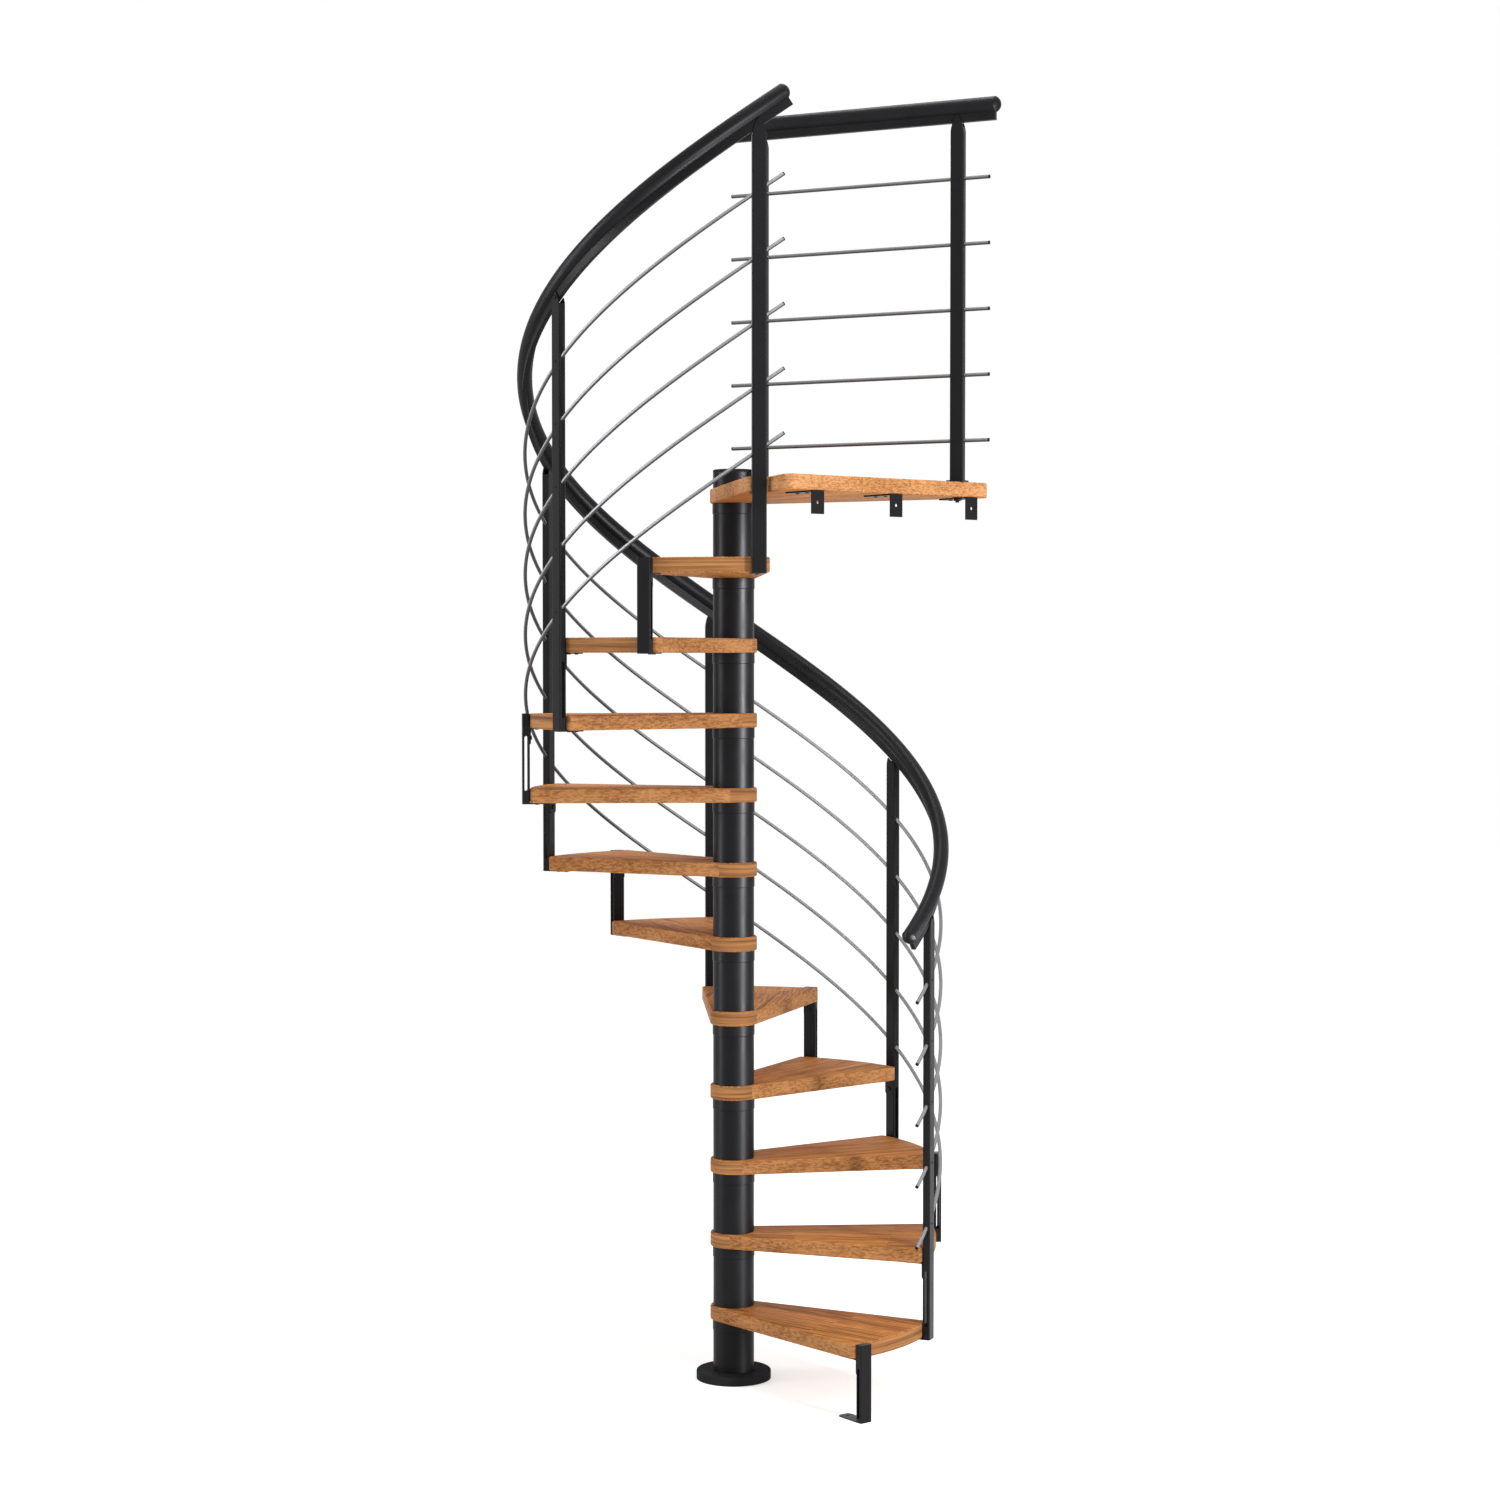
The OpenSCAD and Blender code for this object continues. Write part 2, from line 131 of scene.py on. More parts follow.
class Bench:
    """Shared moves of the modelling work, each on one object at a time."""

    MERGE_GAP = 1e-6
    NODE_MERGE_GAP = 2e-5
    FLAT_ANGLE = math.radians(0.4)

    @staticmethod
    def clear() -> None:
        """Deselects every object."""
        bpy.ops.object.select_all(action="DESELECT")

    @staticmethod
    def take(piece: bpy.types.Object) -> None:
        """Makes a piece the only selected and active object."""
        Bench.clear()
        piece.select_set(True)
        bpy.context.view_layer.objects.active = piece

    @staticmethod
    @contextmanager
    def editing(piece: bpy.types.Object) -> Iterator[None]:
        """Opens a piece in edit mode, to select by vertices, and leaves it in object mode.

        Args:
            piece: the mesh object to edit.
        """
        Bench.take(piece)
        bpy.ops.object.mode_set(mode="EDIT")
        bpy.ops.mesh.select_mode(type="VERT")
        try:
            yield
        finally:
            bpy.ops.object.mode_set(mode="OBJECT")

    @staticmethod
    def pick(piece: bpy.types.Object, wanted: Callable[[Vector], bool]) -> None:
        """Selects the vertices whose place passes a test, from object mode.

        Args:
            piece: the mesh object.
            wanted: test of a vertex's place.
        """
        mesh = piece.data
        for part in (mesh.polygons, mesh.edges):
            for item in part:
                item.select = False
        for vertex in mesh.vertices:
            vertex.select = wanted(vertex.co)

    @staticmethod
    def apply(piece: bpy.types.Object) -> None:
        """Applies all modifiers of a piece in order."""
        Bench.take(piece)
        for modifier in list(piece.modifiers):
            bpy.ops.object.modifier_apply(modifier=modifier.name)

    @staticmethod
    def settle(piece: bpy.types.Object) -> None:
        """Moves a piece's place, turn and scale into its mesh."""
        Bench.take(piece)
        bpy.ops.object.transform_apply(location=True, rotation=True, scale=True)

    @staticmethod
    def smooth(piece: bpy.types.Object, degrees: float = 35.0) -> None:
        """Shades a piece smooth except over sharp edges."""
        Bench.take(piece)
        bpy.ops.object.shade_smooth_by_angle(angle=math.radians(degrees))

    @staticmethod
    def outward(piece: bpy.types.Object) -> None:
        """Merges doubles and turns every face outward."""
        with Bench.editing(piece):
            bpy.ops.mesh.select_all(action="SELECT")
            bpy.ops.mesh.remove_doubles(threshold=Bench.MERGE_GAP)
            bpy.ops.mesh.normals_make_consistent(inside=False)

    @staticmethod
    def cylinder(radius: float, low: float, high: float, sides: int) -> bpy.types.Object:
        """Adds an upright cylinder on the Z axis.

        Args:
            radius: its radius.
            low: height of its lower end.
            high: height of its upper end.
            sides: number of its sides.

        Returns:
            The cylinder.
        """
        Bench.clear()
        bpy.ops.mesh.primitive_cylinder_add(vertices=sides, radius=radius, depth=high - low,
                                            location=(0.0, 0.0, (low + high) / 2))
        made = bpy.context.active_object
        Bench.settle(made)
        return made

    @staticmethod
    def round_rim(piece: bpy.types.Object, above: float, size: float) -> None:
        """Rounds the upper rim of an upright piece.

        Args:
            piece: the mesh object.
            above: height that only the rim's vertices are above.
            size: how far the rounding reaches from the rim.
        """
        Bench.pick(piece, lambda co: co.z > above)
        with Bench.editing(piece):
            bpy.ops.mesh.bevel(offset=size, segments=RIM_SEGMENTS, affect="EDGES")

    @staticmethod
    def join(pieces: list[bpy.types.Object], name: str) -> bpy.types.Object:
        """Joins pieces to one object.

        Args:
            pieces: the mesh objects, of which the first stays.
            name: name of the joined piece.

        Returns:
            The joined object.
        """
        Bench.clear()
        for piece in pieces:
            piece.select_set(True)
        bpy.context.view_layer.objects.active = pieces[0]
        bpy.ops.object.join()
        pieces[0].name = name
        pieces[0].data.name = name
        return pieces[0]

    @staticmethod
    def twin(source: bpy.types.Object, place: Matrix) -> bpy.types.Object:
        """Copies a piece with its own mesh and puts the copy in its place.

        Args:
            source: the modelled piece, at the origin.
            place: where the copy goes.

        Returns:
            The copy, with its place in its mesh.
        """
        Bench.take(source)
        bpy.ops.object.duplicate(linked=False)
        copy = bpy.context.active_object
        copy.data.transform(place)
        return copy

    @staticmethod
    def copy_node(node: str, name: str) -> bpy.types.Object:
        """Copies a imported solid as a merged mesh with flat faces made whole.

        Args:
            node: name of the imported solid.
            name: name of the new piece.

        Returns:
            The new piece.
        """
        source = frame["nodes"][node]
        piece = bpy.data.objects.new(name, source.data.copy())
        piece.data.name = name
        piece.data.materials.clear()
        bpy.context.scene.collection.objects.link(piece)
        with Bench.editing(piece):
            bpy.ops.mesh.select_all(action="SELECT")
            bpy.ops.mesh.customdata_custom_splitnormals_clear()
            bpy.ops.mesh.remove_doubles(threshold=Bench.NODE_MERGE_GAP)
            bpy.ops.mesh.dissolve_limited(angle_limit=Bench.FLAT_ANGLE)
        return piece

    @staticmethod
    def hand_over(piece: bpy.types.Object, slot: Slot, *nodes: str) -> None:
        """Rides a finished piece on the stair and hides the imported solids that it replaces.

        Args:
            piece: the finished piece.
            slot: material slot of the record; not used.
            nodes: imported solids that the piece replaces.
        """
        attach(piece, BODY)
        if nodes:
            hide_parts(*nodes)
        LOG.info("%s: %d faces", piece.name, len(piece.data.polygons))


class Graph:
    """Node tree of one material with short ways to add and join nodes."""

    MIX_INPUTS = (0, 6, 7)
    MIX_RESULT = 2

    def __init__(self, name: str) -> None:
        """Starts a material with a Principled shader."""
        self.material = bpy.data.materials.new(name)
        self.material.use_nodes = True
        self.tree = self.material.node_tree
        self.shader = self.tree.nodes["Principled BSDF"]

    def feed(self, socket: Socket, value: object) -> None:
        """Links an input to another node's output, or sets its value."""
        if isinstance(value, Socket):
            self.tree.links.new(value, socket)
        else:
            socket.default_value = value

    def node(self, kind: str, inputs: dict | None = None, **settings: object) -> bpy.types.Node:
        """Adds a node.

        Args:
            kind: node type without the shader prefix.
            inputs: values or sockets by input name or number.
            settings: attributes of the node.

        Returns:
            The new node.
        """
        made = self.tree.nodes.new("ShaderNode" + kind)
        for key, value in settings.items():
            setattr(made, key, value)
        for key, value in (inputs or {}).items():
            self.feed(made.inputs[key], value)
        return made

    def math(self, operation: str, a: object, b: object = 0.0, clamp: bool = False) -> Socket:
        """Adds a math node and gives its result."""
        made = self.node("Math", {0: a, 1: b}, operation=operation, use_clamp=clamp)
        return made.outputs[0]

    def ramp(self, factor: Socket, stops: Stops) -> Socket:
        """Adds a colour ramp.

        Args:
            factor: value that drives it.
            stops: pairs of a position and a grey or a colour.

        Returns:
            The colour.
        """
        made = self.node("ValToRGB", {0: factor})
        band = made.color_ramp.elements
        while len(band) < len(stops):
            band.new(0.5)
        for item, (place, tone) in zip(band, stops):
            item.position = place
            rgb = (tone, tone, tone) if isinstance(tone, (int, float)) else tone
            item.color = (*rgb, 1.0)
        return made.outputs[0]

    def mix(self, factor: object, a: object, b: object, blend: str = "MIX") -> Socket:
        """Mixes two colours and gives the result."""
        made = self.node("Mix", data_type="RGBA", blend_type=blend)
        for place, value in zip(self.MIX_INPUTS, (factor, a, b)):
            self.feed(made.inputs[place], (*value, 1.0) if isinstance(value, tuple) else value)
        return made.outputs[self.MIX_RESULT]

    def coordinates(self, turn: float = 0.0, shift: Triple = (0.0, 0.0, 0.0)) -> Socket:
        """Object coordinates, turned about the column's axis and shifted."""
        place = self.node("TexCoord").outputs["Object"]
        inputs = {"Vector": place, "Rotation": (0.0, 0.0, turn), "Location": shift}
        return self.node("Mapping", inputs).outputs[0]

    def stretch(self, vector: Socket, scale: Triple) -> Socket:
        """Scales coordinates along each axis."""
        return self.node("Mapping", {"Vector": vector, "Scale": scale}).outputs[0]

    def noise(self, vector: Socket, scale: float, detail: float = 3.0, rough: float = 0.55,
              bend: float = 0.0) -> Socket:
        """Adds a noise texture and gives its value."""
        return self.node("TexNoise", {"Vector": vector, "Scale": scale, "Detail": detail,
                                      "Roughness": rough, "Distortion": bend}).outputs[0]

    def grain(self, vector: Socket, repeats: Triple, detail: float, rough: float = 0.55,
              bend: float = 0.0) -> Socket:
        """Adds noise that is drawn out along the axes.

        Args:
            vector: coordinates in metres.
            repeats: how often the noise changes per metre along each axis.
            detail: levels of finer noise.
            rough: strength of the finer levels.
            bend: how far the noise is distorted.

        Returns:
            The value.
        """
        return self.noise(self.stretch(vector, repeats), 1.0, detail, rough, bend)

    def upward(self) -> Socket:
        """How far the surface faces up, from -1 to 1."""
        normal = self.node("NewGeometry").outputs["Normal"]
        return self.node("SeparateXYZ", {0: normal}).outputs[2]

    def surface(self, **sockets: object) -> bpy.types.Material:
        """Sets or links sockets of the shader.

        Args:
            sockets: values or node outputs by socket name, with spaces as underscores.

        Returns:
            The material.
        """
        for key, value in sockets.items():
            self.feed(self.shader.inputs[key.replace("_", " ")], value)
        return self.material

    def bump(self, height: Socket, strength: float, distance: float) -> Socket:
        """Adds a bump node and gives its normal."""
        inputs = {"Strength": strength, "Distance": distance, "Height": height}
        return self.node("Bump", inputs).outputs[0]


@dataclass(frozen=True)
class OakFinish:
    """Oiled oak glued from staves that run along a board.

    Each grain is given as its repeats per metre along, across and down the board.
    """

    dark: Triple = (0.345, 0.118, 0.028)
    middle: Triple = (0.58, 0.222, 0.057)
    light: Triple = (0.75, 0.322, 0.092)
    fleck: Triple = (0.17, 0.062, 0.018)
    edge_dark: Triple = (0.41, 0.176, 0.060)
    edge_light: Triple = (0.58, 0.272, 0.102)
    band_dark: Triple = (0.15, 0.058, 0.019)
    band_light: Triple = (0.54, 0.250, 0.096)
    hub_reach: float = 0.0662
    arc_reach: float = 0.5592
    stave_length: float = 0.46
    stave_width: float = 0.052
    stave_offset: float = 0.43
    stave_jump: tuple = (1.7, 0.63)
    seam_width: float = 0.0004
    streak_grain: Triple = (2.0, 30.0, 30.0)
    fibre_grain: Triple = (4.5, 150.0, 150.0)
    pore_grain: Triple = (14.0, 420.0, 420.0)
    vein_grain: Triple = (1.8, 44.0, 44.0)
    ring_stretch: Triple = (0.35, 1.0, 0.6)
    ring_scale: float = 26.0
    mottle_grain: Triple = (58.0, 80.0, 215.0)
    cloud_grain: Triple = (5.0, 5.0, 14.0)
    band_grain: Triple = (2.5, 2.5, 125.0)
    streak_share: float = 0.46
    fibre_share: float = 0.36
    ring_share: float = 0.18
    vein_depth: float = 0.70
    seam_depth: float = 0.45
    fleck_depth: float = 0.85
    roughness: float = 0.54
    pore_roughness: float = 0.14
    specular: float = 0.08
    relief: float = 0.22
    relief_depth: float = 0.0006
    streak_relief: float = 0.6

    def staves(self, g: Graph, place: Socket) -> tuple[Socket, Socket]:
        """Lays out the staves.

        Args:
            g: the material's nodes.
            place: coordinates along the board.

        Returns:
            A tone of each stave's own, and the seams between the staves.
        """
        made = g.node("TexBrick", {
            "Vector": place, "Color1": (0.0, 0.0, 0.0, 1.0), "Color2": WHITE,
            "Mortar": (0.5, 0.5, 0.5, 1.0), "Scale": 1.0, "Mortar Size": self.seam_width,
            "Mortar Smooth": 0.2, "Brick Width": self.stave_length,
            "Row Height": self.stave_width}, offset=self.stave_offset)
        return g.node("RGBToBW", {0: made.outputs[0]}).outputs[0], made.outputs[1]

    def face(self, g: Graph, own: Socket, streaks: Socket, pores: Socket) -> Socket:
        """Colours the flat faces, before the staves' tones and seams.

        Args:
            g: the material's nodes.
            own: coordinates that jump from stave to stave.
            streaks: broad streaks of the grain.
            pores: fine pores of the grain.

        Returns:
            The colour.
        """
        fibres = g.grain(own, self.fibre_grain, detail=4.0, rough=0.6, bend=0.2)
        rings = g.node("TexWave", {
            "Vector": g.stretch(own, self.ring_stretch), "Scale": self.ring_scale,
            "Distortion": 5.5, "Detail": 3.0, "Detail Scale": 1.6}, bands_direction="Y").outputs[1]
        body = g.math("ADD", g.math("MULTIPLY", streaks, self.streak_share),
                      g.math("MULTIPLY", fibres, self.fibre_share))
        body = g.math("ADD", body, g.math("MULTIPLY", rings, self.ring_share))
        colour = g.ramp(body, [(0.34, self.dark), (0.50, self.middle), (0.66, self.light)])
        veins = g.grain(own, self.vein_grain, detail=4.0, rough=0.6, bend=0.5)
        veined = g.math("MULTIPLY", g.ramp(veins, [(0.53, 0.0), (0.64, 1.0)]), self.vein_depth)
        colour = g.mix(veined, colour, self.fleck)
        return g.mix(1.0, colour, g.ramp(pores, [(0.34, 0.62), (0.50, 1.0)]), "MULTIPLY")

    def edge(self, g: Graph, place: Socket) -> Socket:
        """Colours the end grain and the cut edges of the staves.

        Args:
            g: the material's nodes.
            place: coordinates along the board.

        Returns:
            The colour.
        """
        mottle = g.grain(place, self.mottle_grain, detail=6.0, rough=0.74, bend=0.5)
        cloud = g.grain(place, self.cloud_grain, detail=2.0)
        colour = g.ramp(cloud, [(0.34, self.edge_dark), (0.66, self.edge_light)])
        density = g.math("MULTIPLY", g.ramp(cloud, [(0.36, 1.0), (0.64, 0.55)]), self.fleck_depth)
        flecks = g.ramp(mottle, [(0.46, 0.0), (0.56, 1.0)])
        return g.mix(g.math("MULTIPLY", flecks, density), colour, self.fleck)

    def side(self, g: Graph, place: Socket) -> Socket:
        """Colours the upright sides, with level grain along the hub and the outer arc.

        Args:
            g: the material's nodes.
            place: coordinates along the board.

        Returns:
            The colour.
        """
        raw = g.node("TexCoord").outputs["Object"]
        lines = g.grain(raw, self.band_grain, detail=4.0, rough=0.62)
        band = g.ramp(lines, [(0.32, self.band_dark), (0.66, self.band_light)])
        flat = g.node("VectorMath", {0: raw, 1: (1.0, 1.0, 0.0)}, operation="MULTIPLY").outputs[0]
        reach = g.node("VectorMath", {0: flat}, operation="LENGTH").outputs["Value"]
        at_hub = g.math("LESS_THAN", reach, self.hub_reach)
        at_arc = g.math("GREATER_THAN", reach, self.arc_reach)
        return g.mix(g.math("ADD", at_hub, at_arc, True), self.edge(g, place), band)

    def material(self, name: str, turn: float, shift: Triple) -> bpy.types.Material:
        """Makes the finish of one board.

        Args:
            name: name of the material.
            turn: direction of the board's length, in radians.
            shift: offset of the grain, so that boards differ.

        Returns:
            The material.
        """
        g = Graph(name)
        place = g.coordinates(-turn, shift)
        tone, seams = self.staves(g, place)
        jump = g.node("CombineXYZ", {i: g.math("MULTIPLY", tone, by)
                                     for i, by in enumerate(self.stave_jump)}).outputs[0]
        own = g.node("VectorMath", {0: place, 1: jump}, operation="ADD").outputs[0]
        streaks = g.grain(own, self.streak_grain, detail=5.0, rough=0.62, bend=0.35)
        pores = g.grain(own, self.pore_grain, detail=2.0, rough=0.5)
        face = self.face(g, own, streaks, pores)
        face = g.mix(1.0, face, g.ramp(tone, [(0.0, 0.84), (1.0, 1.10)]), "MULTIPLY")
        face = g.mix(g.math("MULTIPLY", seams, self.seam_depth), face, self.fleck)
        upright = g.ramp(g.math("ABSOLUTE", g.upward()), [(0.35, 1.0), (0.75, 0.0)])
        height = g.math("ADD", pores, g.math("MULTIPLY", streaks, self.streak_relief))
        rough = g.ramp(pores, [(0.3, self.roughness + self.pore_roughness),
                               (0.6, self.roughness)])
        return g.surface(Base_Color=g.mix(upright, face, self.side(g, place)), Roughness=rough,
                         Normal=g.bump(height, self.relief, self.relief_depth),
                         Specular_IOR_Level=self.specular)


@dataclass(frozen=True)
class PaintFinish:
    """Black coat with a fine texture, small changes of gloss and paler worn edges."""

    colour: Triple = (0.0080, 0.0080, 0.0090)
    pale: Triple = (0.0130, 0.0130, 0.0145)
    roughness: float = 0.32
    specular: float = 0.11
    grain: float = 900.0
    texture: float = 0.10
    texture_depth: float = 0.0003
    cloud_scale: float = 14.0
    cloud_share: float = 0.5
    wear: float = 0.35

    def material(self, name: str) -> bpy.types.Material:
        """Makes the coat.

        Args:
            name: name of the material.

        Returns:
            The material.
        """
        g = Graph(name)
        place = g.coordinates()
        cloud = g.noise(place, self.cloud_scale, detail=3.0, rough=0.6)
        grit = g.noise(place, self.grain, detail=2.0, rough=0.5)
        edges = g.node("NewGeometry").outputs["Pointiness"]
        worn = g.ramp(edges, [(0.52, 0.0), (0.60, 1.0)])
        tone = g.mix(g.math("MULTIPLY", cloud, self.cloud_share), self.colour, self.pale)
        tone = g.mix(g.math("MULTIPLY", worn, self.wear), tone, self.pale)
        rough = g.ramp(cloud, [(0.3, self.roughness - GLOSSIER_BY),
                               (0.7, self.roughness + DULLER_BY)])
        return g.surface(Base_Color=tone, Roughness=rough, Specular_IOR_Level=self.specular,
                         Normal=g.bump(grit, self.texture, self.texture_depth))


@dataclass(frozen=True)
class SteelFinish:
    """Bare stainless steel with fine drawing marks and painted shade that darkens its underside."""

    colour: Triple = (0.27, 0.27, 0.278)
    dull: Triple = (0.245, 0.245, 0.253)
    # Painted shade: the colour that faces pointing downward are darkened toward.
    under: Triple = (0.062, 0.062, 0.065)
    painted_shade_share: float = 0.92
    roughness: float = 0.58
    cloud_scale: float = 24.0
    mark_scale: float = 320.0

    def material(self, name: str) -> bpy.types.Material:
        """Makes the steel.

        Args:
            name: name of the material.

        Returns:
            The material.
        """
        g = Graph(name)
        place = g.coordinates()
        cloud = g.noise(place, self.cloud_scale, detail=3.0, rough=0.6)
        marks = g.noise(place, self.mark_scale, detail=2.0, rough=0.6)
        tone = g.mix(cloud, self.dull, self.colour)
        facing = g.node("MapRange", {"Value": g.upward(), "From Min": -1.0}).outputs[0]
        # Painted shade: the downward-facing half of each rod is darkened toward the under colour.
        lower = g.ramp(facing, [(0.28, 1.0), (0.52, 0.0)])
        tone = g.mix(g.math("MULTIPLY", lower, self.painted_shade_share), tone, self.under)
        rough = g.ramp(marks, [(0.3, self.roughness - GLOSSIER_BY),
                               (0.7, self.roughness + DULLER_BY)])
        return g.surface(Base_Color=tone, Roughness=rough, Metallic=1.0)


OAK = OakFinish()
# Painted light: the landing's edge and fleck colours are paler than the treads', standing in for the light
# that falls on its front edge.
LANDING_OAK_PAINTED_LIGHT = OakFinish(edge_dark=(0.55, 0.247, 0.090), edge_light=(0.74, 0.372, 0.160),
                        fleck=(0.26, 0.100, 0.033), arc_reach=1.0)
COAT = PaintFinish()
COLUMN_COAT = PaintFinish(roughness=0.38, specular=0.07, texture=0.008)
RAIL_COAT = PaintFinish(roughness=0.40, specular=0.07, grain=60.0, texture=0.001)
BASE_COAT = PaintFinish(colour=(0.024, 0.024, 0.026), pale=(0.030, 0.030, 0.033),
                        roughness=0.60, specular=0.01)
PLUG_COAT = PaintFinish(colour=(0.005, 0.005, 0.0055), pale=(0.008, 0.008, 0.009),
                        roughness=0.6, specular=0.15)
STAINLESS = SteelFinish()
# The landing rods' steel, with its own painted shade colour for the underside.
RAILING_STEEL = SteelFinish(colour=(0.205, 0.203, 0.205), dull=(0.185, 0.183, 0.185),
                            under=(0.085, 0.084, 0.085))


@dataclass(frozen=True)
class OakBoards:
    """The eleven treads and the landing, each a board with rounded edges."""

    edge_radius: float = 0.0045
    edge_segments: int = 4
    sharp_angle: float = math.radians(50.0)
    grain_step: Triple = (0.37, 0.113, 0.071)
    grain_start: Triple = (0.0, 0.02, 0.0)

    def board(self, node: str, turn: float, number: int, finish: OakFinish = OAK) -> None:
        """Rounds one board and gives it its own grain.

        Args:
            node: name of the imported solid.
            turn: direction of the board's length, in radians.
            number: place in the stair, which shifts the grain.
            finish: finish of the board.
        """
        piece = Bench.copy_node(node, "oak_" + node)
        rounding = piece.modifiers.new("rounding", "BEVEL")
        rounding.width = self.edge_radius
        rounding.segments = self.edge_segments
        rounding.limit_method = "ANGLE"
        rounding.angle_limit = self.sharp_angle
        rounding.use_clamp_overlap = False
        Bench.apply(piece)
        Bench.smooth(piece)
        shift = tuple(step * number + start
                      for step, start in zip(self.grain_step, self.grain_start))
        piece.data.materials.append(finish.material("oak_grain_" + node, turn, shift))
        Bench.hand_over(piece, Slot.OAK, node)

    def build(self) -> None:
        """Makes all the boards."""
        for k in range(1, TREAD_COUNT + 1):
            self.board(f"tread_{k:02d}", tread_angle(k), k)
        self.board("landing", START, TREAD_COUNT + 1, LANDING_OAK_PAINTED_LIGHT)


@dataclass
class HelixBar:
    """A bar of constant section that follows the stair's helix between two directions."""

    radius: float
    first: float
    last: float
    height: float
    steps: int
    spare: float = math.radians(7.0)
    cut_reach: float = 2.2

    @property
    def slope(self) -> float:
        """Slope of the helix at this radius, in radians."""
        return math.atan(RISE / (self.radius * STEP))

    def end(self, angle: float) -> tuple[Vector, Vector]:
        """Middle of the bar and its upward direction at an angle.

        Args:
            angle: direction from the axis, in radians.

        Returns:
            The point and the unit direction.
        """
        along = polar(math.cos(self.slope), angle + math.pi / 2, math.sin(self.slope))
        return polar(self.radius, angle, helix_z(angle, self.height)), along

    def sweep(self, section: bpy.types.Object) -> None:
        """Sweeps a section that stands upright at the start, and cuts both ends square.

        Args:
            section: outline in the plane across the stair, already at its radius and height.
        """
        start = self.first - self.spare
        turn = self.last - self.first + 2 * self.spare
        section.data.transform(Matrix.Rotation(start, 4, "Z"))
        screw = section.modifiers.new("helix", "SCREW")
        screw.axis = "Z"
        screw.angle = turn
        screw.screw_offset = turn / STEP * RISE
        screw.steps = self.steps
        screw.render_steps = self.steps
        screw.use_smooth_shade = True
        Bench.apply(section)
        for angle, sign in ((self.first, -1.0), (self.last, 1.0)):
            self.cut(section, angle, sign)
        Bench.outward(section)

    def cut(self, bar: bpy.types.Object, angle: float, sign: float) -> None:
        """Cuts the spare length off one end and closes it.

        Args:
            bar: the swept bar.
            angle: direction of the end.
            sign: 1 for the upper end, -1 for the lower one.
        """
        point, along = self.end(angle)
        near = self.radius * self.spare * self.cut_reach
        Bench.pick(bar, lambda co: (co - point).length < near)
        with Bench.editing(bar):
            bpy.ops.mesh.bisect(plane_co=point, plane_no=along * sign, use_fill=True,
                                clear_outer=True)


@dataclass(frozen=True)
class HelicalRailing:
    """Handrail on a keel and five rods along the flight."""

    rail_radius: float = 0.5757
    rail_h: float = 0.938
    rail_before: float = math.radians(12.3)
    rail_after: float = math.radians(6.4)
    rail_r: float = 0.021
    rail_points: int = 40
    keel_w: float = 0.014
    keel_h: float = 0.020
    keel_slack: float = 1e-4
    level_angle: float = math.radians(1.0)
    rod_radius: float = 0.5755
    rod_r: float = 0.005
    rod_points: int = 16
    rod_first: float = 0.0665
    rod_pitch: float = 0.1655
    rod_before: float = math.radians(7.9)
    rod_after: float = math.radians(6.4)
    steps: int = 150

    @property
    def rail(self) -> HelixBar:
        """Path of the handrail."""
        return HelixBar(self.rail_radius, post_angle(LONG_POSTS[0]) - self.rail_before,
                        post_angle(LONG_POSTS[-1]) + self.rail_after, self.rail_h, self.steps)

    def rod_height(self, i: int) -> float:
        """Height of rod i above the upper tread at a post, counted from 0 at the bottom."""
        return self.rod_first + i * self.rod_pitch

    def rod(self, i: int) -> HelixBar:
        """Path of rod i, counted from 0 at the bottom."""
        return HelixBar(self.rod_radius, post_angle(LONG_POSTS[0]) - self.rod_before,
                        post_angle(LONG_POSTS[-1]) + self.rod_after, self.rod_height(i), self.steps)

    @staticmethod
    def circle(bar: HelixBar, radius: float, points: int) -> bpy.types.Object:
        """Adds an upright outline that is round across the helix.

        Args:
            bar: path that the outline will follow.
            radius: radius of the bar.
            points: corners of the outline.

        Returns:
            The outline as a mesh object.
        """
        Bench.clear()
        low = helix_z(bar.first - bar.spare, bar.height)
        bpy.ops.mesh.primitive_circle_add(vertices=points, radius=radius, fill_type="NOTHING",
                                          rotation=(math.pi / 2, 0.0, 0.0))
        outline = bpy.context.active_object
        outline.scale = (1.0, 1.0 / math.cos(bar.slope), 1.0)
        outline.location = (bar.radius, 0.0, low)
        Bench.settle(outline)
        return outline

    def handrail(self) -> bpy.types.Object:
        """Models the handrail with its keel."""
        bar = self.rail
        outline = self.circle(bar, self.rail_r, self.rail_points)
        low = helix_z(bar.first - bar.spare, bar.height)
        reach = self.keel_w / 2 + self.keel_slack
        keel_end = low - (self.rail_r + self.keel_h) / math.cos(bar.slope)
        Bench.pick(outline, lambda co: co.z < low and abs(co.x - bar.radius) < reach)
        with Bench.editing(outline):
            bpy.ops.mesh.extrude_region_move()
            bpy.ops.transform.resize(value=(1.0, 1.0, 0.0),
                                     center_override=(bar.radius, 0.0, keel_end))
        with Bench.editing(outline):
            bpy.ops.mesh.select_all(action="SELECT")
            bpy.ops.mesh.dissolve_limited(angle_limit=self.level_angle)
        bar.sweep(outline)
        return outline

    def build(self) -> None:
        """Makes the handrail and the rods."""
        rail = self.handrail()
        rail.name = "flight_handrail"
        Bench.smooth(rail, RIM_DEGREES)
        rail.data.materials.append(RAIL_COAT.material("coat_flight_handrail"))
        Bench.hand_over(rail, Slot.HANDRAIL, "spiral_handrail")
        steel = STAINLESS.material("drawn_stainless")
        for i in range(ROD_COUNT):
            bar = self.rod(i)
            piece = self.circle(bar, self.rod_r, self.rod_points)
            bar.sweep(piece)
            piece.name = f"flight_rod_{i + 1}"
            Bench.smooth(piece)
            piece.data.materials.append(steel)
            Bench.hand_over(piece, Slot.STAINLESS, f"spiral_rod_{i + 1}")


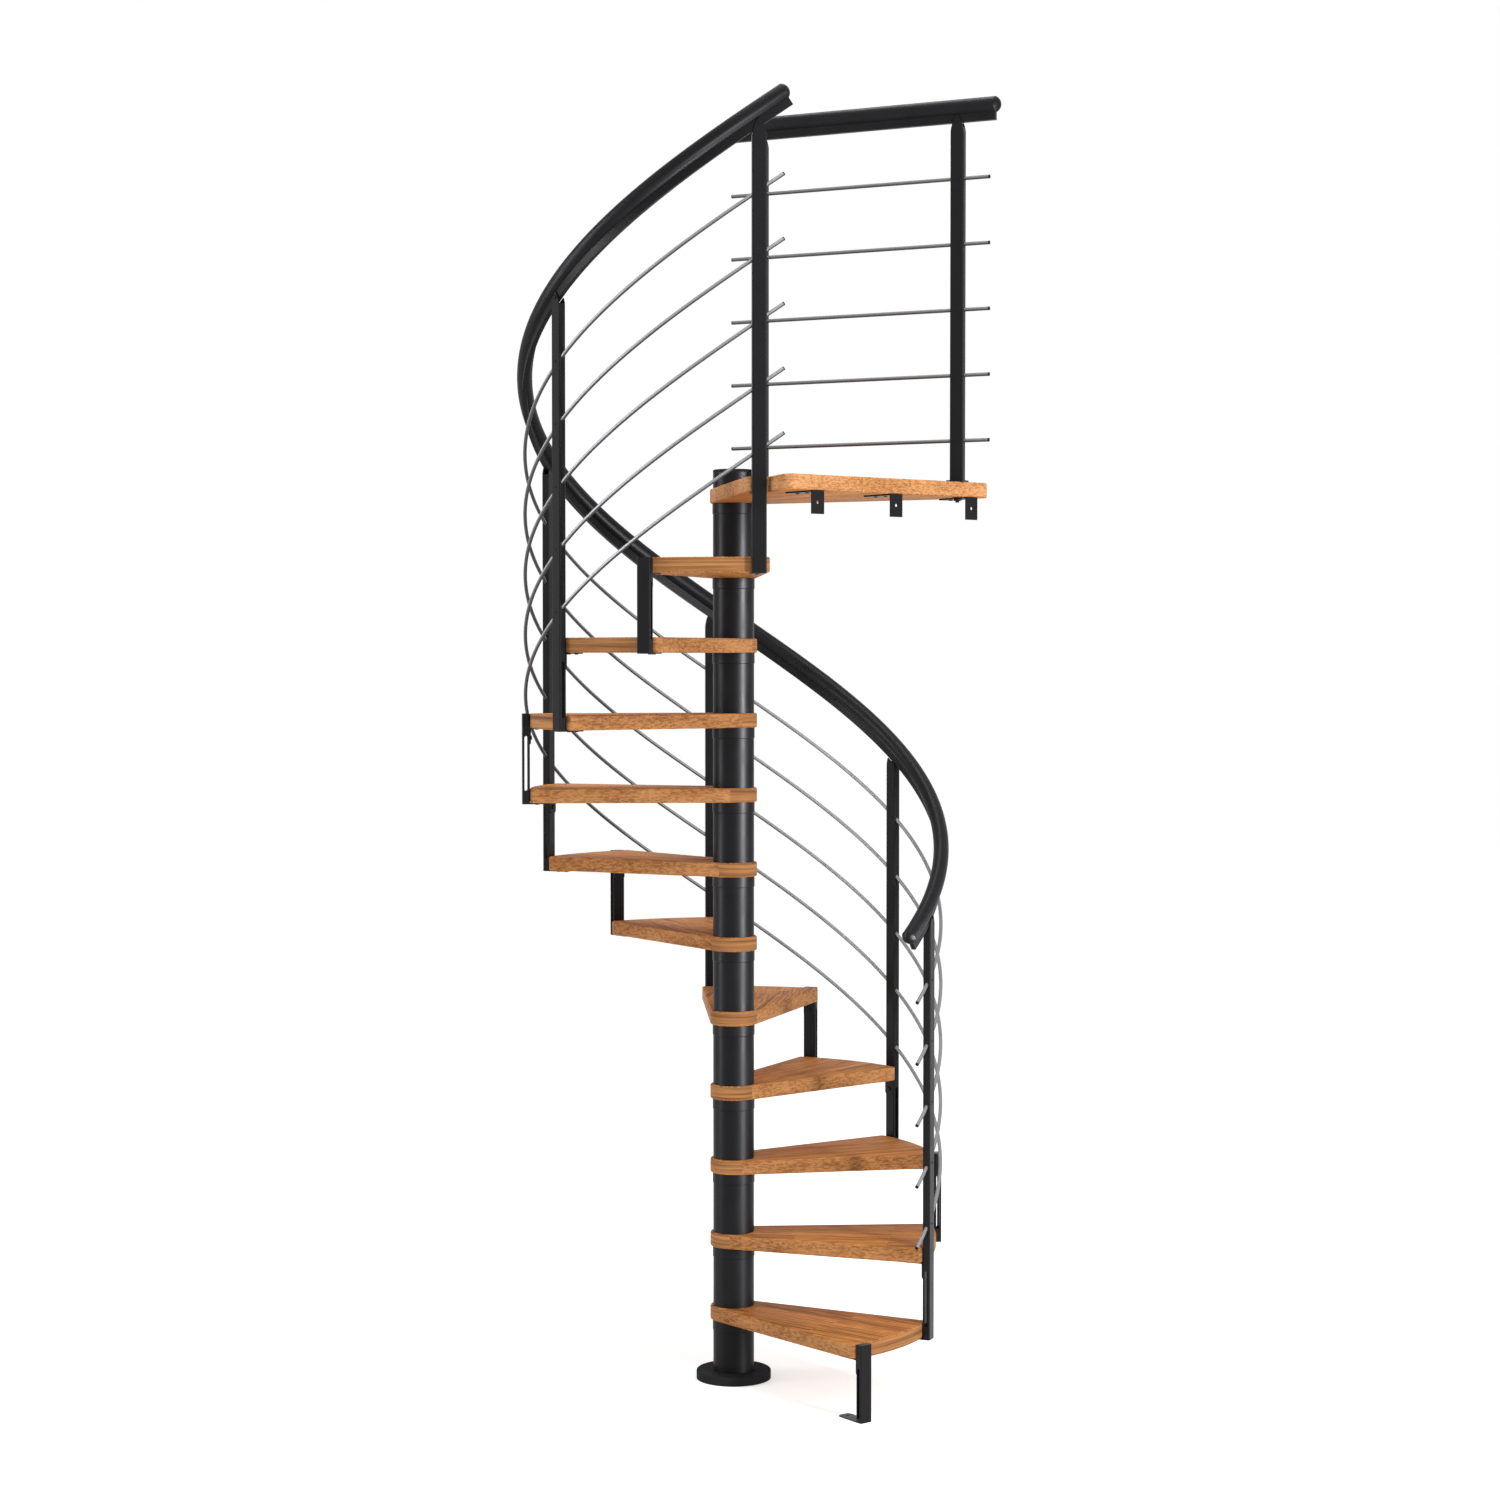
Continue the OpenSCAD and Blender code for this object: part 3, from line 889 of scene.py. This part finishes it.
@dataclass(frozen=True)
class LandingRailing:
    """Places of the straight railing on the landing."""

    turn: float = math.radians(297.5)
    offset: float = -0.016
    inner: float = 0.093
    outer: float = 0.6699
    overhang: float = 0.089
    rod_first: float = 0.110
    rod_pitch: float = 0.173
    rail_h: float = 0.990

    def point(self, along: float, height: float) -> Vector:
        """Point on the railing's middle line.

        Args:
            along: distance from the column's axis along the railing.
            height: height above the landing.

        Returns:
            The point.
        """
        flat = Matrix.Rotation(self.turn, 4, "Z") @ Vector((along, self.offset, 0.0))
        return flat + Vector((0.0, 0.0, LANDING_TOP + height))

    def rod_height(self, i: int) -> float:
        """Height of rod i above the landing, counted from 0 at the bottom."""
        return self.rod_first + i * self.rod_pitch

    @property
    def posts(self) -> tuple[float, float]:
        """Distances of the two posts from the column's axis."""
        return self.inner, self.outer

    @property
    def along(self) -> Vector:
        """Unit direction outward along the railing."""
        return polar(1.0, self.turn)

    @property
    def inward(self) -> Vector:
        """Unit direction across the railing, toward the landing."""
        return polar(1.0, self.turn - math.pi / 2)


@dataclass(frozen=True)
class ScrewHead:
    """Head of a screw with a rounded rim and a round socket, its seat on the XY plane.

    The rim's share is of the smaller of the head's radius and height, the depth's share is of
    its height, and the other shares are of its radius.
    """

    radius: float
    height: float
    socket: float
    sides: int = 24
    rim_slack: float = 1e-5
    rim_share: float = 0.35
    inset_share: float = 0.12
    inner_share: float = 0.53
    pick_share: float = 0.62
    depth_share: float = 0.6

    def model(self) -> bpy.types.Object:
        """Models the head."""
        head = Bench.cylinder(self.radius, 0.0, self.height, self.sides)
        top = self.height - self.rim_slack
        Bench.round_rim(head, top, min(self.radius, self.height) * self.rim_share)
        Bench.pick(head, lambda co: co.z > top)
        with Bench.editing(head):
            bpy.ops.mesh.inset(thickness=self.radius * self.inset_share)
        near = self.radius * self.pick_share
        Bench.pick(head, lambda co: co.z > top and co.xy.length < near)
        shrink = self.socket / (self.radius * self.inner_share)
        sink = {"value": (0.0, 0.0, -self.height * self.depth_share)}
        with Bench.editing(head):
            bpy.ops.transform.resize(value=(shrink, shrink, 1.0),
                                     center_override=(0.0, 0.0, self.height))
            bpy.ops.mesh.extrude_region_move(TRANSFORM_OT_translate=sink)
        Bench.smooth(head, RIM_DEGREES)
        return head


@dataclass(frozen=True)
class LandingNut:
    """Six-sided nut with a washer and the end of its stud, its seat on the XY plane."""

    washer_r: float = 0.014
    washer_t: float = 0.002
    washer_sides: int = 32
    nut_r: float = 0.0095
    nut_top: float = 0.010
    nut_sides: int = 6
    nut_rounding: float = 0.0008
    stud_r: float = 0.005
    stud_low: float = 0.008
    stud_top: float = 0.014
    stud_sides: int = 20
    stud_rounding: float = 0.001
    rim_slack: float = 1e-4
    crisp_degrees: float = 30.0

    def model(self) -> bpy.types.Object:
        """Models the nut, its washer and the stud's end as one part."""
        washer = Bench.cylinder(self.washer_r, 0.0, self.washer_t, self.washer_sides)
        body = Bench.cylinder(self.nut_r, self.washer_t, self.nut_top, self.nut_sides)
        with Bench.editing(body):
            bpy.ops.mesh.select_all(action="SELECT")
            bpy.ops.mesh.bevel(offset=self.nut_rounding, segments=RIM_SEGMENTS, affect="EDGES")
        stud = Bench.cylinder(self.stud_r, self.stud_low, self.stud_top, self.stud_sides)
        Bench.round_rim(stud, self.stud_top - self.rim_slack, self.stud_rounding)
        made = Bench.join([washer, body, stud], "nut")
        Bench.smooth(made, self.crisp_degrees)
        return made


@dataclass(frozen=True)
class RodPlug:
    """Plug in the end of a rod, a disc with a rounded rim, the rod's end on the XY plane."""

    radius: float = 0.0051
    sunk: float = 0.002
    proud: float = 0.001
    sides: int = 20
    rounding: float = 0.0006

    def model(self) -> bpy.types.Object:
        """Models the plug."""
        disc = Bench.cylinder(self.radius, -self.sunk, self.proud, self.sides)
        Bench.round_rim(disc, 0.0, self.rounding)
        Bench.smooth(disc, RIM_DEGREES)
        return disc


GRUB_SCREW = ScrewHead(radius=0.0034, height=0.0008, socket=0.0017)
TAB_SCREW = ScrewHead(radius=0.0048, height=0.0022, socket=0.0021)
PLATE_SCREW = ScrewHead(radius=0.0050, height=0.0020, socket=0.0021)
LEG_BOLT = ScrewHead(radius=0.0062, height=0.0034, socket=0.0028)


@dataclass(frozen=True)
class Hardware:
    """Screws, bolts, nuts and the plugs in the ends of the rods."""

    flight: HelicalRailing
    railing: LandingRailing
    post_face: float = 0.586
    post_half: float = 0.0105
    tab_drop: float = 0.040
    landing_tab_drop: float = 0.035
    plate_t: float = 0.003
    leg_drop: float = 0.027
    plate_reaches: tuple = (0.020, 0.044)
    bracket_near_inset: float = 0.104
    bracket_far_inset: float = 0.080
    bracket_t: float = 0.004
    bracket_reaches: tuple = (0.045, 0.085)

    @staticmethod
    def facing(point: Vector, normal: Vector) -> Matrix:
        """Place of a part whose head looks along a normal.

        Args:
            point: middle of the part's seat.
            normal: direction that its head faces.

        Returns:
            The matrix that puts it there.
        """
        turn = normal.to_track_quat("Z", "Y").to_matrix().to_4x4()
        return Matrix.Translation(point) @ turn

    @staticmethod
    def set_out(model: bpy.types.Object, places: list[Matrix], name: str,
                coat: bpy.types.Material) -> None:
        """Copies a modelled part to all its places as one piece.

        Args:
            model: the part at the origin, which is used up.
            places: where the copies go.
            name: name of the piece.
            coat: its finish.
        """
        copies = [Bench.twin(model, place) for place in places]
        Bench.take(model)
        bpy.ops.object.delete()
        piece = Bench.join(copies, name)
        piece.data.materials.clear()
        piece.data.materials.append(coat)
        Bench.hand_over(piece, Slot.STEEL)

    @property
    def post_back(self) -> float:
        """Distance of the posts' inner faces from the column's axis."""
        return self.post_face - 2 * self.post_half

    @property
    def bracket_xs(self) -> Triple:
        """Middles of the three brackets along the landing's outer edge."""
        turn = LANDING_FAR_TURN
        far_corner = HUB_R / math.cos(turn) + LANDING_REACH * math.tan(turn)
        first = self.bracket_near_inset - LANDING_NEAR
        last = far_corner - self.bracket_far_inset
        return first, (first + last) / 2, last

    def on_post(self, k: int, height: float) -> Matrix:
        """Place on the outer face of a long post.

        Args:
            k: number of the post.
            height: height above the post's upper tread.

        Returns:
            The matrix that puts a part there.
        """
        angle = post_angle(k)
        return self.facing(polar(self.post_face, angle, helix_z(angle, height)), polar(1.0, angle))

    def on_landing_post(self, along: float, height: float) -> Matrix:
        """Place on the inward face of a post on the landing.

        Args:
            along: distance of the post from the column's axis.
            height: height above the landing.

        Returns:
            The matrix that puts a part there.
        """
        inward = self.railing.inward
        return self.facing(self.railing.point(along, height) + inward * self.post_half, inward)

    def grub_places(self) -> list[Matrix]:
        """Places of the small screws that clamp the rods in the posts."""
        rods = range(ROD_COUNT)
        places = [self.on_post(k, self.flight.rod_height(i)) for k in LONG_POSTS for i in rods]
        places += [self.on_landing_post(along, self.railing.rod_height(i))
                   for along in self.railing.posts for i in rods]
        return places

    def tab_places(self) -> list[Matrix]:
        """Places of the screws through the tips of the posts into the keel."""
        height = self.flight.rail_h - self.tab_drop
        landing_height = self.railing.rail_h - self.landing_tab_drop
        places = [self.on_post(k, height) for k in LONG_POSTS]
        places += [self.on_landing_post(along, landing_height) for along in self.railing.posts]
        return places

    def under_places(self) -> list[Matrix]:
        """Places of the wood screws under the plates and the landing's brackets."""
        places = []
        for k in range(TREAD_COUNT + 1):
            for reach in self.plate_reaches:
                for tread in ((k, k + 1) if k else (1,)):
                    under = tread * RISE - TREAD_T - self.plate_t
                    point = polar(self.post_back - reach, post_angle(k), under)
                    places.append(self.facing(point, DOWN))
        under = LANDING_TOP - TREAD_T - self.bracket_t
        for x in self.bracket_xs:
            for reach in self.bracket_reaches:
                point = Vector((x, reach - LANDING_REACH, under))
                places.append(self.facing(point, DOWN))
        return places

    def leg_places(self) -> list[Matrix]:
        """Places of the bolts through the upright legs of the angle plates."""
        places = []
        for k in range(TREAD_COUNT + 1):
            height = (k + 1) * RISE - TREAD_T - self.leg_drop
            point = polar(self.post_back - self.plate_t, post_angle(k), height)
            places.append(self.facing(point, -polar(1.0, post_angle(k))))
        return places

    def plug_places(self) -> list[Matrix]:
        """Places of the plugs on the ends of all the rods."""
        railing = self.railing
        places = []
        for i in range(ROD_COUNT):
            bar = self.flight.rod(i)
            for angle, sign in ((bar.first, -1.0), (bar.last, 1.0)):
                point, along = bar.end(angle)
                places.append(self.facing(point, along * sign))
            first = railing.point(railing.inner - railing.overhang, railing.rod_height(i))
            last = railing.point(railing.outer + railing.overhang, railing.rod_height(i))
            places += [self.facing(first, -railing.along), self.facing(last, railing.along)]
        return places

    def nut_places(self) -> list[Matrix]:
        """Places of the nuts under the posts on the landing."""
        return [self.facing(self.railing.point(along, -TREAD_T), DOWN)
                for along in self.railing.posts]

    def build(self) -> None:
        """Makes every screw, nut and plug."""
        coat = COAT.material("coat_screws")
        dark = PLUG_COAT.material("plug_black")
        for part, places, name, finish in (
                (GRUB_SCREW, self.grub_places(), "grub_screws", dark),
                (TAB_SCREW, self.tab_places(), "tab_screws", dark),
                (PLATE_SCREW, self.under_places(), "plate_screws", coat),
                (LEG_BOLT, self.leg_places(), "leg_bolts", coat),
                (RodPlug(), self.plug_places(), "rod_plugs", dark),
                (LandingNut(), self.nut_places(), "landing_nuts", coat)):
            self.set_out(part.model(), places, name, finish)


@dataclass(frozen=True)
class FrameFinish:
    """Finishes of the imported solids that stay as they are."""

    column_nodes: tuple = ("spindle", "column_tubes")
    flat_nodes: tuple = ("base_flange", "column_cap")
    rail_nodes: tuple = ("landing_handrail", "handrail_caps")
    rod_nodes: tuple = ("landing_rods",)
    steel_nodes: tuple = ("floor_bracket", "tread_angles", "landing_post_inner",
                          "landing_post_outer", "landing_brackets")

    def dress(self) -> None:
        """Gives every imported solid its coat."""
        posts = tuple(f"post_{k:02d}" for k in LONG_POSTS)
        brackets = tuple(f"step_bracket_{k:02d}" for k in SHORT_POSTS)
        self.coat(COAT.material("coat_posts"), self.steel_nodes + posts + brackets)
        self.coat(RAIL_COAT.material("coat_landing_handrail"), self.rail_nodes)
        self.coat(RAILING_STEEL.material("rod_steel"), self.rod_nodes)
        self.coat(BASE_COAT.material("coat_base"), self.flat_nodes)
        self.coat(COLUMN_COAT.material("coat_column"), self.column_nodes)

    @staticmethod
    def coat(material: bpy.types.Material, nodes: tuple[str, ...]) -> None:
        """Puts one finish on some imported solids.

        Args:
            material: the finish.
            nodes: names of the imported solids.
        """
        for name in nodes:
            mesh = frame["nodes"][name].data
            mesh.materials.clear()
            mesh.materials.append(material)


@dataclass(frozen=True)
class Lamp:
    """Area lamp that looks at the middle of the stair.

    The azimuth is in degrees, 0 toward the camera and positive to its right, and the power is in
    watts. A lamp with coats shows only as a reflection in the pieces that have one of them.
    """

    name: str
    azimuth: float
    distance: float
    height: float
    size: tuple[float, float]
    power: float
    coats: tuple[str, ...] = ()


COLUMN_COATS = ("coat_column",)
RAIL_COATS = ("coat_flight_handrail", "coat_landing_handrail")
ROD_COATS = ("drawn_stainless",)
ROOM_LAMPS = (
    Lamp("key", azimuth=42.0, distance=6.0, height=2.6, size=(0.55, 4.6), power=230.0),
    Lamp("side", azimuth=-81.0, distance=5.0, height=2.4, size=(0.9, 4.5), power=70.0),
    Lamp("top", azimuth=20.0, distance=1.5, height=7.5, size=(2.5, 2.5), power=245.0),
)
SHEEN_LAMPS = (
    Lamp("column_sheen", azimuth=55.0, distance=6.0, height=1.9, size=(0.8, 5.6), power=3500.0,
         coats=COLUMN_COATS),
    Lamp("column_side_sheen", azimuth=-78.0, distance=5.0, height=2.0, size=(0.9, 5.6),
         power=400.0, coats=COLUMN_COATS),
    Lamp("flight_sheen", azimuth=58.0, distance=1.5, height=1.0, size=(1.2, 0.7), power=210.0,
         coats=RAIL_COATS),
    Lamp("side_sheen", azimuth=-78.0, distance=5.0, height=2.0, size=(0.9, 5.6), power=400.0,
         coats=RAIL_COATS),
    Lamp("rod_sheen", azimuth=-66.0, distance=3.5, height=1.9, size=(2.4, 3.4), power=150.0,
         coats=ROD_COATS),
    Lamp("rail_sheen", azimuth=26.0, distance=5.0, height=0.6, size=(2.4, 1.4), power=800.0,
         coats=RAIL_COATS),
    Lamp("rail_top_sheen", azimuth=195.0, distance=1.2, height=6.5, size=(1.6, 1.6), power=80.0,
         coats=RAIL_COATS),
)


@dataclass(frozen=True)
class Studio:
    """Pale floor, soft lamps, white backdrop and the camera of the picture."""

    camera_place: Triple = (-4.6298, -6.2460, 2.0147)
    camera_tilt: float = math.radians(90.0 - 1.9093)
    camera_turn: float = math.radians(-36.8834)
    lens: float = 67.2336
    sensor: float = 36.0
    aim_height: float = 1.6
    fill_level: float = 0.50
    sheen_colour: Triple = (0.95, 0.94, 1.0)
    floor_size: float = 40.0
    floor_level: float = -0.0005
    floor_colour: tuple = (0.86, 0.86, 0.86, 1.0)
    floor_roughness: float = 0.9
    floor_specular: float = 0.1
    floor_glow: float = 0.55

    def world(self) -> None:
        """Makes the backdrop, white to the camera and in reflections, and dimmer as light."""
        world = bpy.data.worlds.new("studio")
        bpy.context.scene.world = world
        world.use_nodes = True
        tree = world.node_tree
        background = tree.nodes["Background"]
        background.inputs[0].default_value = WHITE
        path = tree.nodes.new("ShaderNodeLightPath")
        level: Socket | None = None
        for ray in ("Is Camera Ray", "Is Glossy Ray", "Is Transmission Ray"):
            pick = tree.nodes.new("ShaderNodeMapRange")
            pick.inputs["To Min"].default_value = self.fill_level
            if level is not None:
                tree.links.new(level, pick.inputs["To Min"])
            tree.links.new(path.outputs[ray], pick.inputs["Value"])
            level = pick.outputs[0]
        tree.links.new(level, background.inputs[1])

    def floor(self) -> None:
        """Makes the pale floor, which glows to the camera and in reflections."""
        Bench.clear()
        bpy.ops.mesh.primitive_plane_add(size=self.floor_size,
                                         location=(0.0, 0.0, self.floor_level))
        floor = bpy.context.active_object
        floor.name = "floor"
        g = Graph("pale_floor")
        path = g.node("LightPath")
        seen = g.math("MAXIMUM", path.outputs["Is Camera Ray"], path.outputs["Is Glossy Ray"])
        seen = g.math("MAXIMUM", seen, path.outputs["Is Transmission Ray"])
        floor.data.materials.append(g.surface(
            Base_Color=self.floor_colour, Roughness=self.floor_roughness,
            Specular_IOR_Level=self.floor_specular, Emission_Color=WHITE,
            Emission_Strength=g.math("MULTIPLY", seen, self.floor_glow)))

    def light(self, plan: Lamp) -> bpy.types.Object:
        """Adds one lamp.

        Args:
            plan: what the lamp is like.

        Returns:
            The lamp.
        """
        back = Vector((self.camera_place[0], self.camera_place[1], 0.0)).normalized()
        side = Matrix.Rotation(math.radians(plan.azimuth), 4, "Z") @ back
        place = side * plan.distance + Vector((0.0, 0.0, plan.height))
        Bench.clear()
        bpy.ops.object.light_add(type="AREA", location=place)
        lamp = bpy.context.active_object
        lamp.name = plan.name
        lamp.data.shape = "RECTANGLE"
        lamp.data.size, lamp.data.size_y = plan.size
        lamp.data.energy = plan.power
        aim = Vector((0.0, 0.0, self.aim_height)) - place
        lamp.rotation_euler = aim.to_track_quat("-Z", "Y").to_euler()
        return lamp

    def sheen(self, plan: Lamp) -> None:
        """Adds a lamp that shows only as a reflection in the pieces that have its coats.

        Args:
            plan: what the lamp is like.
        """
        lamp = self.light(plan)
        coated = bpy.data.collections.new(plan.name + "_parts")
        for piece in bpy.data.objects:
            if piece.type != "MESH":
                continue
            if any(coat and coat.name in plan.coats for coat in piece.data.materials):
                coated.objects.link(piece)
        lamp.data.color = self.sheen_colour
        lamp.visible_diffuse = False
        lamp.light_linking.receiver_collection = coated

    def highlights(self) -> None:
        """Adds the lamps that draw the highlights on the column, the handrails and the rods."""
        for plan in SHEEN_LAMPS:
            self.sheen(plan)

    def camera(self) -> None:
        """Sets the camera at the picture's view."""
        Bench.clear()
        turn = (self.camera_tilt, 0.0, self.camera_turn)
        bpy.ops.object.camera_add(location=self.camera_place, rotation=turn)
        camera = bpy.context.active_object
        camera.name = "camera"
        camera.data.sensor_width = self.sensor
        camera.data.lens = self.lens
        bpy.context.scene.camera = camera

    def build(self) -> None:
        """Sets up the whole studio except the highlights, which need the finished pieces."""
        bpy.context.scene.view_settings.view_transform = "Standard"
        self.world()
        self.floor()
        for plan in ROOM_LAMPS:
            self.light(plan)
        self.camera()


def main() -> None:
    """Builds the stair's looks in order."""
    logging.basicConfig(level=logging.INFO, format="%(name)s: %(message)s")
    studio = Studio()
    studio.build()
    OakBoards().build()
    flight = HelicalRailing()
    flight.build()
    Hardware(flight, LandingRailing()).build()
    FrameFinish().dress()
    studio.highlights()


if __name__ == "__main__":
    main()
